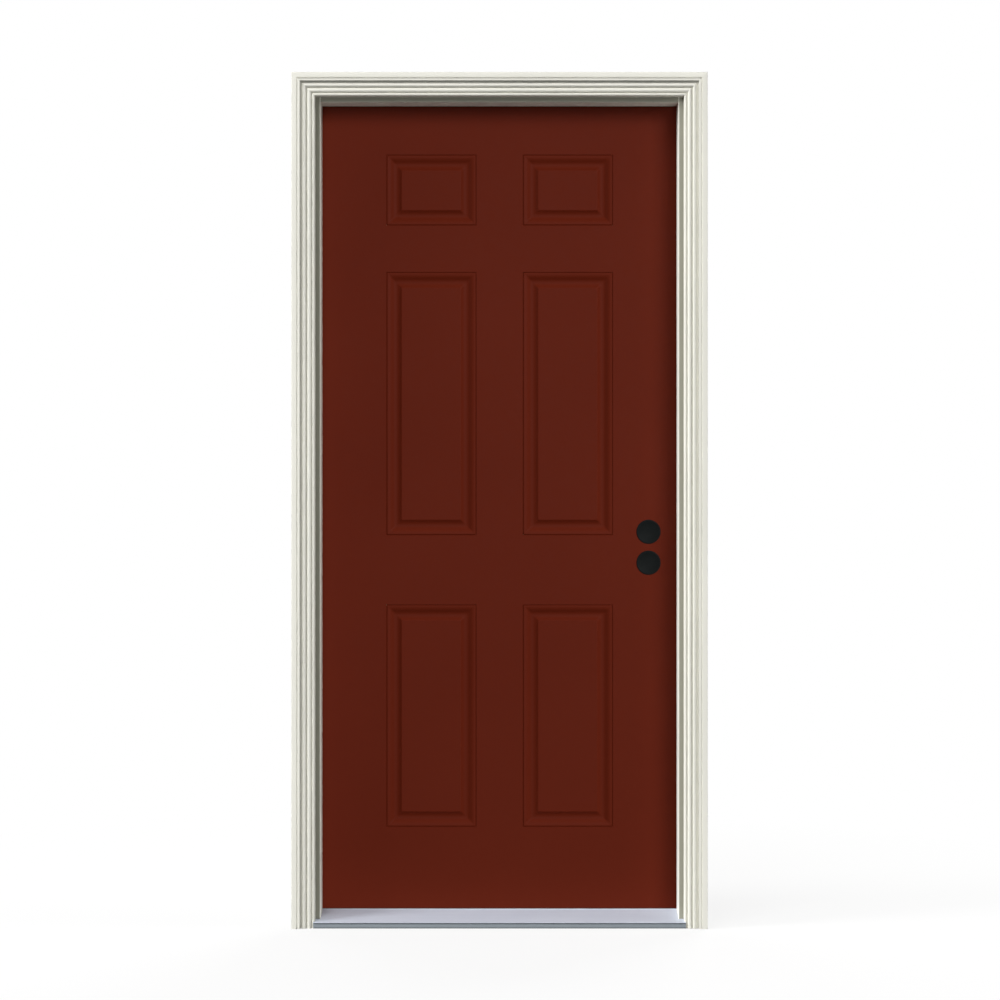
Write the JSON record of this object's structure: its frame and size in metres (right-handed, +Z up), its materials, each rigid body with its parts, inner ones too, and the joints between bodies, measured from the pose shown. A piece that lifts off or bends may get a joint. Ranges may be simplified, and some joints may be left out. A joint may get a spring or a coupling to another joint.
{
  "type": "panelled front door",
  "caption": "Inswing entry door in its jambs and exterior trim, with pressed raised panels, butt hinges, weatherstrip and a sloped sill. The slab swings inwards on its hinges.",
  "frame": {"origin": "on the floor, midway between the jambs, in the plane of the jambs' outside edges", "axes": "+X across the opening, to the right seen from outside; +Y through the wall, into the house; +Z up"},
  "size_m": [1.0286, 0.1608, 2.1179],
  "materials": {
    "jamb_paint": "satin paint",
    "trim_paint": "satin paint",
    "zinc_steel": "zinc plated",
    "pine": "bare",
    "sill_aluminium": "mill finish",
    "seal_foam": "matte",
    "pad_foam": "matte",
    "hinge_steel": "satin",
    "cap_vinyl": "satin",
    "door_paint": "satin paint",
    "core_foam": "foam",
    "sweep_vinyl": "matte",
    "cover_plastic": "matte"
  },
  "bodies": {
    "frame": {"hinge_jamb": "jamb_paint", "strike_jamb": "jamb_paint", "head_jamb": "jamb_paint", "brickmould_left": "trim_paint", "brickmould_right": "trim_paint", "brickmould_head": "trim_paint", "brickmould_nails": "zinc_steel", "sill_base": "pine", "sill_deck": "sill_aluminium", "sill_joint_screws": "zinc_steel", "head_joint_screws": "zinc_steel", "weatherstrip_hinge_side": "seal_foam", "weatherstrip_latch_side": "seal_foam", "weatherstrip_head": "seal_foam", "corner_pads": "pad_foam", "frame_leaf_top": "hinge_steel", "frame_leaf_middle": "hinge_steel", "frame_leaf_bottom": "hinge_steel", "hinge_pin_top": "hinge_steel", "hinge_pin_middle": "hinge_steel", "hinge_pin_bottom": "hinge_steel", "frame_hinge_screws": "hinge_steel"},
    "threshold": {"threshold_cap": "cap_vinyl", "threshold_screws": "zinc_steel"},
    "door": {"outer_skin": "door_paint", "inner_skin": "door_paint", "hinge_stile": "pine", "lock_stile": "pine", "top_rail": "pine", "bottom_rail": "pine", "lock_block": "pine", "foam_core": "core_foam", "door_sweep": "sweep_vinyl", "door_leaf_top": "hinge_steel", "door_leaf_middle": "hinge_steel", "door_leaf_bottom": "hinge_steel", "door_hinge_screws": "hinge_steel", "bore_cover_upper": "cover_plastic", "bore_cover_lower": "cover_plastic"}
  },
  "joints": [
    {"name": "door_swing", "type": "hinge", "parent": "frame", "child": "door", "pos_m": [-0.4556, 0.1227, 1], "axis": [0, 0, 1], "range_deg": [0, 170]},
    {"name": "threshold_lift", "type": "slide", "parent": "frame", "child": "threshold", "axis": [0, 0, 1], "range_m": [0, 0.003]}
  ]
}
